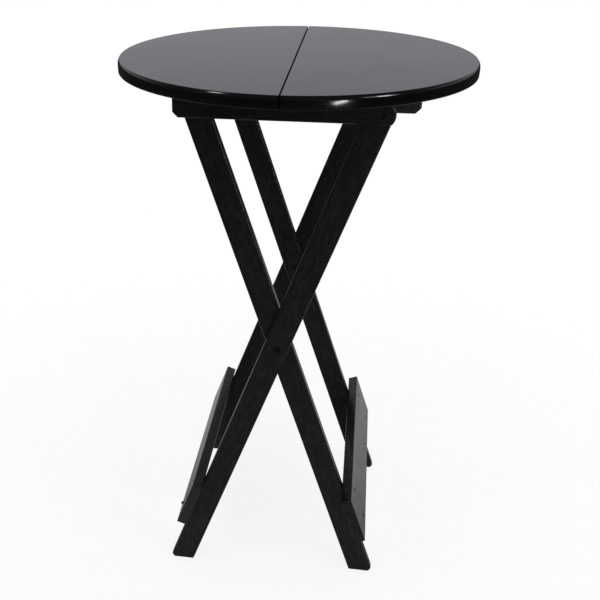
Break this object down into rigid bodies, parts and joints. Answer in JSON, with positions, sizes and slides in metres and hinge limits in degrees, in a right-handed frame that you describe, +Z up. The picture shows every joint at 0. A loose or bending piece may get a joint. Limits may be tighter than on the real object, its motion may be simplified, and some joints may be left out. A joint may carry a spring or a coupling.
{
  "type": "folding bar table",
  "caption": "Black folding wooden bar table: round top in two halves that slide apart on their rails as the crossed legs close, with a wide foot board on each side.",
  "frame": {"origin": "on the floor, under the middle of the round top", "axes": "+X to the right across the seam of the top, +Y from front to back along the seam, +Z up"},
  "size_m": [0.7, 0.7, 1.09],
  "materials": {
    "top_lacquer": "semi-gloss black lacquer on wood",
    "frame_lacquer": "satin black lacquer on wood",
    "brass_plated": "yellow zinc plated steel, brassy",
    "zinc_steel": "zinc plated",
    "dark_steel": "blackened steel"
  },
  "bodies": {
    "outer_frame": {"outer_leg_front": "frame_lacquer", "outer_leg_rear": "frame_lacquer", "outer_plank": "frame_lacquer", "outer_plank_screws": "brass_plated", "centre_bolts": "dark_steel", "centre_sleeves": "dark_steel", "centre_washers": "zinc_steel", "outer_top_bolts": "dark_steel", "outer_top_sleeves": "dark_steel", "outer_top_washers": "zinc_steel"},
    "inner_frame": {"inner_leg_front": "frame_lacquer", "inner_leg_rear": "frame_lacquer", "inner_plank": "frame_lacquer", "inner_plank_screws": "dark_steel", "inner_top_bolts": "dark_steel", "inner_top_sleeves": "dark_steel", "inner_top_washers": "zinc_steel"},
    "left_top": {"top_left_half": "top_lacquer", "outer_rail_front": "frame_lacquer", "outer_rail_rear": "frame_lacquer", "outer_rail_screws": "zinc_steel"},
    "right_top": {"top_right_half": "top_lacquer", "inner_rail_front": "frame_lacquer", "inner_rail_rear": "frame_lacquer", "inner_rail_screws": "zinc_steel"}
  },
  "joints": [
    {"name": "fold", "type": "hinge", "parent": "outer_frame", "child": "inner_frame", "pos_m": [0, 0, 0.557], "axis": [0, 1, 0], "range_deg": [0, 38.5]},
    {"name": "left_top_hinge", "type": "hinge", "parent": "outer_frame", "child": "left_top", "pos_m": [0.16914, 0, 1.039], "axis": [0, 1, 0], "range_deg": [0, 19.25]},
    {"name": "right_top_hinge", "type": "hinge", "parent": "inner_frame", "child": "right_top", "pos_m": [-0.16914, 0, 1.039], "axis": [0, 1, 0], "range_deg": [-19.25, 0]}
  ],
  "couplings": [
    {"joint": "left_top_hinge", "follows": "fold", "ratio": 0.5},
    {"joint": "right_top_hinge", "follows": "fold", "ratio": -0.5}
  ]
}
